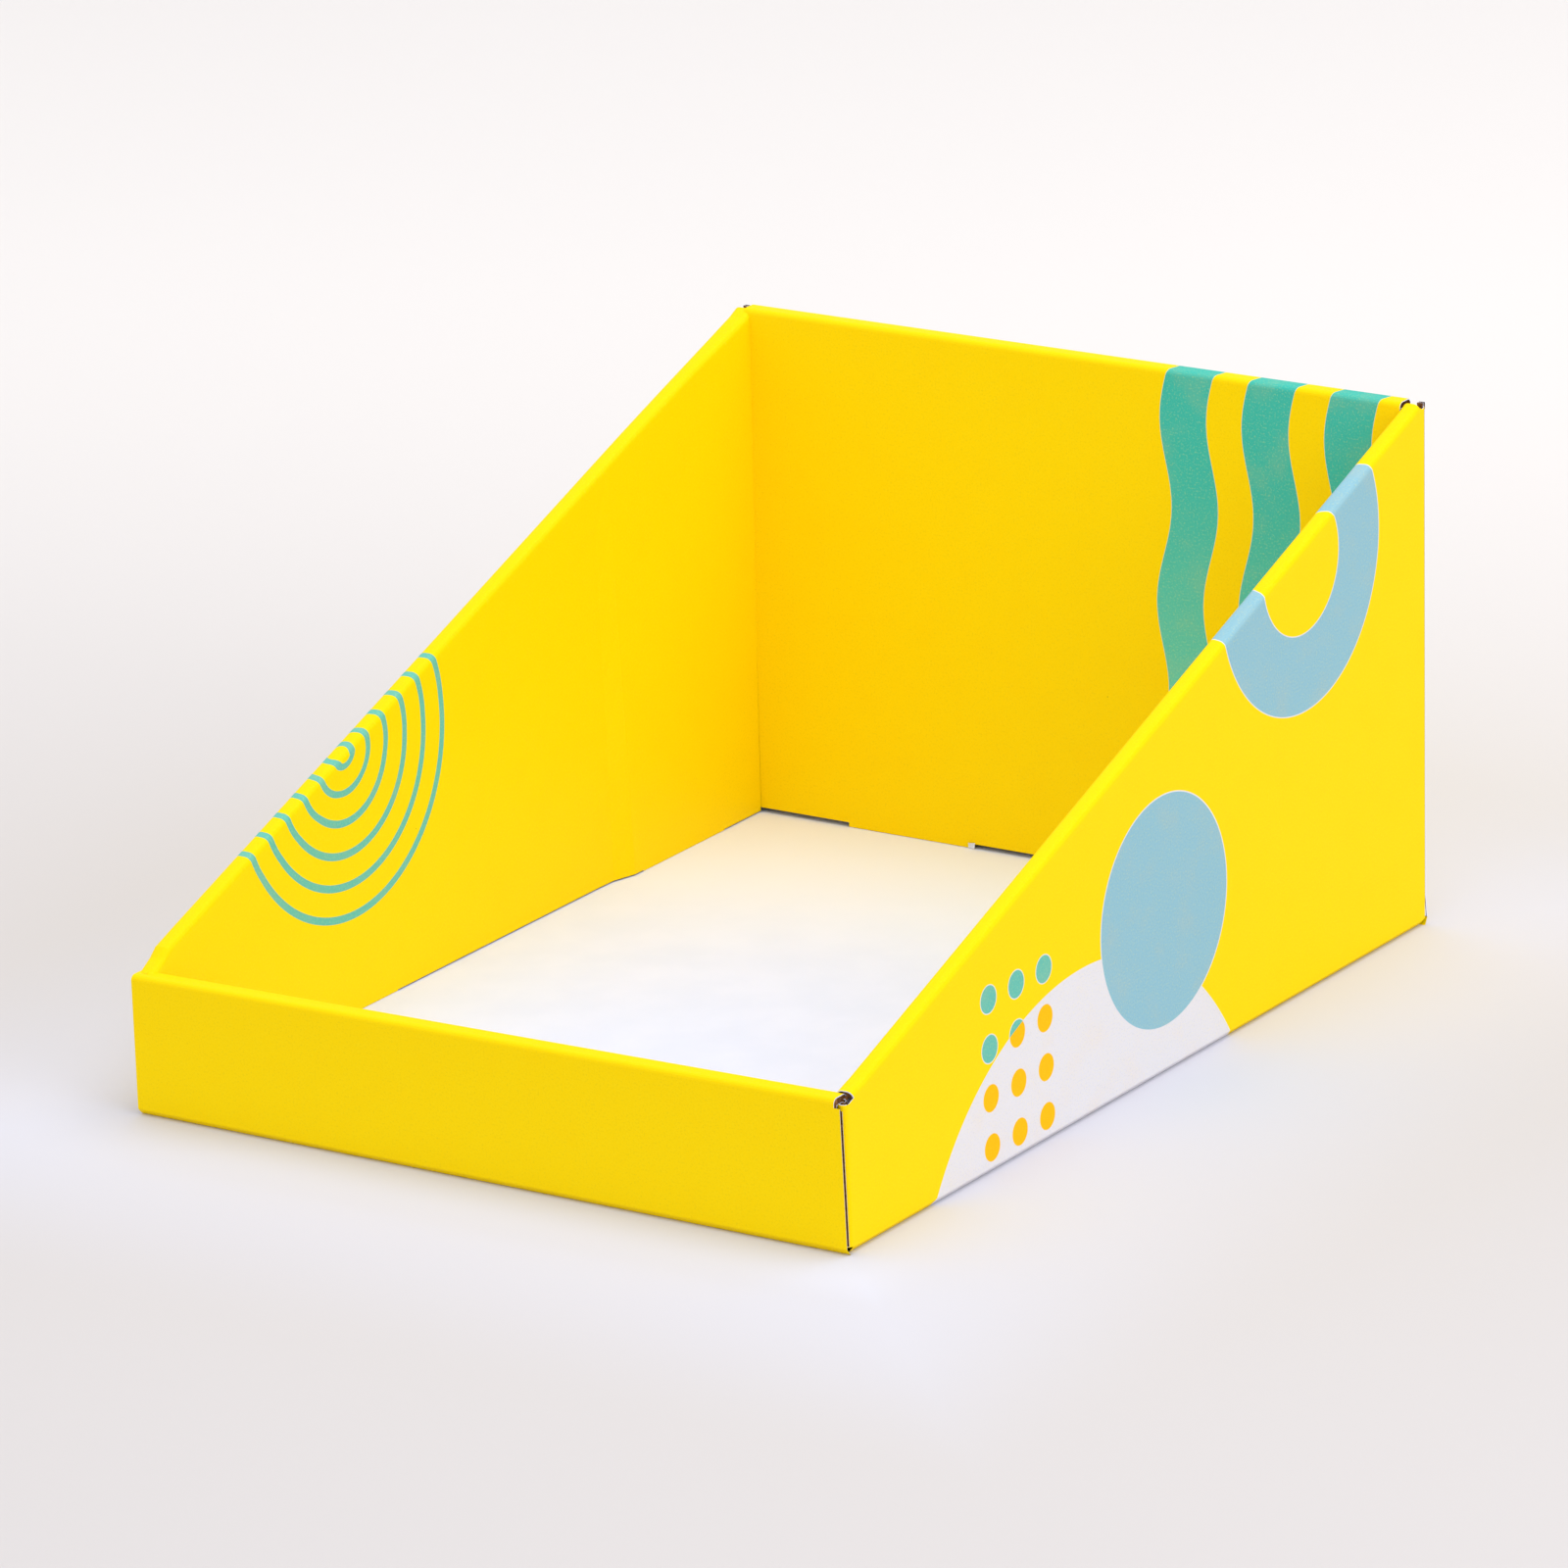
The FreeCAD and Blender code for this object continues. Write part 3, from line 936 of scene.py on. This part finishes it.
def follow_rear(grid, along):
    """Shears the inner panel's rear end so that it follows the leaning rear wall."""
    down = grid[:, ROLL_END + 1:]
    lean = (REAR - FOLD - down[..., 2]) / (REAR - FOLD - BOARD - END_LIFT)
    rear = HALF_D - END_ROLL - (REAR_FOOT - END_ROLL) * lean
    rear -= REAR_GAP[0] + (REAR_GAP[1] - REAR_GAP[0]) * np.clip(3 * lean, 0, 1)
    down[..., 1] += smooth(along, 150.0, INNER_END[1])[:, None] * (rear - INNER_END[1])


def side_wall(name, sign, finish):
    """One side wall with its two corner flaps; sign is -1 on the left."""
    front, rear = FOLD - CORNERS[-1], CORNERS[1] - FOLD
    roll_end = ROLL_RANGE[sign]
    tab_edges = [m + s * SIDE_TAB / 2 for m in SIDE_TABS for s in (-1, 1)]
    along = lines(front, rear, 10, *INNER_END, *roll_end, *tab_edges)
    left = 1 if sign < 0 else 0
    rolls = SIDE_ROLL + left * ROLL_OPENS * smooth(along, 150, 195)
    feet = FOOT + left * FOOT_STEP * smooth(along, 84, 96)
    columns = [side_column(y, r, f, max(roll_end[0], -194) <= y <= roll_end[1])
               for y, r, f in zip(along, rolls, feet)]
    out = np.array([c[0] for c in columns])
    back = np.array([c[1] for c in columns])
    last = int(np.argmax(np.isclose(along, roll_end[1])))
    out[last, PANEL_END + 1:ROLL_END + 1, 1] -= ROLL_SLANT
    for grid in (out, back):
        follow_rear(grid, along)
    middle = (along[:-1] + along[1:]) / 2
    cells = np.ones((len(along) - 1, FOOT_END), bool)
    cells[(middle < roll_end[0]) | (middle > roll_end[1]), PANEL_END:] = False
    cells[(middle < INNER_END[0]) | (middle > INNER_END[1]), ROLL_END + 1:] = False
    in_tab = np.any([np.abs(middle - m) < SIDE_TAB / 2 for m in SIDE_TABS], axis=0)
    cells[~in_tab, -1] = False

    def place(grid):
        return np.stack([sign * (HALF_W - grid[..., 0]), grid[..., 1], grid[..., 2]], axis=-1)

    wall = Sheet()
    wall.board(place(out), place(back), unfolded(out, rolls), cells, wave=0, turn=sign < 0,
               joined=lambda x, y, z: z < 2.5 or y < front + 0.1 or y > rear - 0.1)
    for end in (-1, 1):
        add_flap(wall, sign, end)
    return wall.build(name, [finish, liner, core])


side_wall("right_side_wall", 1, right_print)
side_wall("left_side_wall", -1, left_print)

# %% [markdown]
# ## Floor
# A pale floor that curves up behind stands in for the studio sweep. Its colour carries painted
# light: round the tray it is painted a little lighter and cooler, most of all in front of it,
# to lift the tray's shadow and its yellow bounce, and far behind it is painted palest, for the
# brighter back of the studio.
# The pale background comes from this colour and not from more light, which would burn
# out the white paper.

# %% Floor
floor_finish = Finish("studio floor", 0.8)
spot = floor_finish.node("ShaderNodeTexCoord", None, 3)
east = floor_finish.node("ShaderNodeSeparateXYZ", None, 0, _0=spot)
north = Wire(floor_finish, east.socket.node.outputs[1])
colour = floor_finish.mix(floor_finish.noise(spot, 1.2), (207, 201, 198), (210, 205, 202))
away = (abs(east) - HALF_W * MM).most(abs(north) - HALF_D * MM)
# painted light: the floor is painted lighter and cooler round the tray, lifting its shadow and
# yellow bounce
colour = floor_finish.mix(1 - away.step(0.0, 0.16), colour, (215, 214, 222))
# painted light: a narrow lighter band just in front of and right of the tray lifts its contact
# shadow
close = (1 - away.step(0.0, 0.04)) * east.step(-0.16, -0.08) * (1 - north.step(-0.24, -0.18))
colour = floor_finish.mix(close, colour, (224, 226, 240))
# painted light: the floor far behind is painted palest, standing in for the brighter back of
# the studio
painted_light_far = (north - east * 0.4).step(-0.1, 1.1)
colour = floor_finish.mix(painted_light_far, colour, (234, 229, 224))
floor_finish.set(Base_Color=colour, Specular_IOR_Level=0.1)
wide, near, far, bend = 6.0, -4.0, 5.0, 1.5
rows = [(near, 0.0), (far - bend, 0.0)]
rows += [(far - bend + bend * math.sin(t), bend - bend * math.cos(t))
         for t in np.radians(np.linspace(6, 90, 15))] + [(far, 6.0)]
points = [(x, y, z) for y, z in rows for x in (-wide, wide)]
faces = [(2 * i, 2 * i + 1, 2 * i + 3, 2 * i + 2) for i in range(len(rows) - 1)]
sweep = bpy.data.meshes.new("studio_floor")
sweep.from_pydata(points, [], faces)
sweep.materials.append(floor_finish.material)
for face in sweep.polygons:
    face.use_smooth = True
floor = bpy.data.objects.new("studio_floor", sweep)
bpy.context.scene.collection.objects.link(floor)
print("floor, m: %.0f wide, %.0f deep" % (2 * wide, far - near))

# %% [markdown]
# ## Light
# Two broad, soft lamps, one from above and one from the right, light the rolls and the
# right wall most. They leave the front and the inside of the rear wall a step darker. An
# even white world fills the shadows.


# %% Light
def lamp(name, place, target, size, watts):
    """A broad square lamp that looks at a point."""
    data = bpy.data.lights.new(name, "AREA")
    data.shape, data.size, data.energy = "SQUARE", size, watts
    thing = bpy.data.objects.new(name, data)
    thing.location = place
    thing.rotation_euler = (Vector(target) - Vector(place)).to_track_quat("-Z", "Y").to_euler()
    bpy.context.scene.collection.objects.link(thing)
    print("%s: %.0f W, %.1f m wide" % (name, watts, size))


lamp("top_lamp", (0.6, 0.5, 2.7), (0, 0, 0), 2.2, 29.0)
lamp("right_lamp", (2.6, -0.7, 1.4), (0, 0, 0.1), 1.6, 15.0)
world = bpy.data.worlds.new("studio")
bpy.context.scene.world = world
world.use_nodes = True
sky = world.node_tree.nodes["Background"]
sky.inputs["Color"].default_value = (0.96, 0.985, 1.05, 1)
sky.inputs["Strength"].default_value = 1.0

# %% [markdown]
# ## Camera
# The camera stands almost four metres off with a long lens, so upright edges stay nearly
# parallel. Its place, its turn and its lens were fitted to the tray's corners. Standard
# view keeps the inks as they are written.

# %% Camera
SENSOR = 36.0
view = bpy.data.cameras.new("camera")
view.sensor_fit = "AUTO"
view.sensor_width = SENSOR
view.lens = SENSOR * 6.623209
view.clip_start, view.clip_end = 0.1, 50.0
camera = bpy.data.objects.new("camera", view)
across = Vector((0.83565, 0.54827, -0.03290))
up = Vector((-0.14414, 0.27669, 0.95009))
back = Vector((0.53001, -0.78920, 0.31025))
camera.matrix_world = Matrix.Translation((1.97846, -2.95133, 1.24787)) @ Matrix(
    (across, up, back)).transposed().to_4x4()
bpy.context.scene.collection.objects.link(camera)
bpy.context.scene.camera = camera
bpy.context.scene.view_settings.view_transform = "Standard"
print("lens, mm: %.1f" % view.lens)

# %% [markdown] ## Sizes and finish The rebuilt tray must fill the same box as its CAD
# solid.
